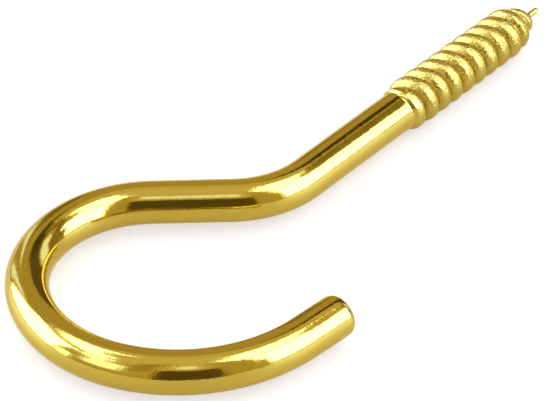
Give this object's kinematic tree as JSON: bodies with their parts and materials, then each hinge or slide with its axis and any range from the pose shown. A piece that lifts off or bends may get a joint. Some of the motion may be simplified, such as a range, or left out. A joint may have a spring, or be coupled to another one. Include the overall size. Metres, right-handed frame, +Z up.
{
  "type": "cup hook",
  "caption": "Screw-in cup hook bent from one round wire: an open question-mark loop, an offset neck, a straight shank and a coarse gimlet-pointed wood thread.",
  "frame": {"origin": "on the shank's axis where the thread begins", "axes": "+X along the shank towards the screw point, +Y to the side the neck bends to, +Z up out of the plane the hook lies in"},
  "size_m": [0.0844, 0.0381, 0.0062],
  "materials": {
    "brass_plate": "polished plate over steel wire"
  },
  "bodies": {
    "root": {"hook": "brass_plate"}
  },
  "joints": []
}
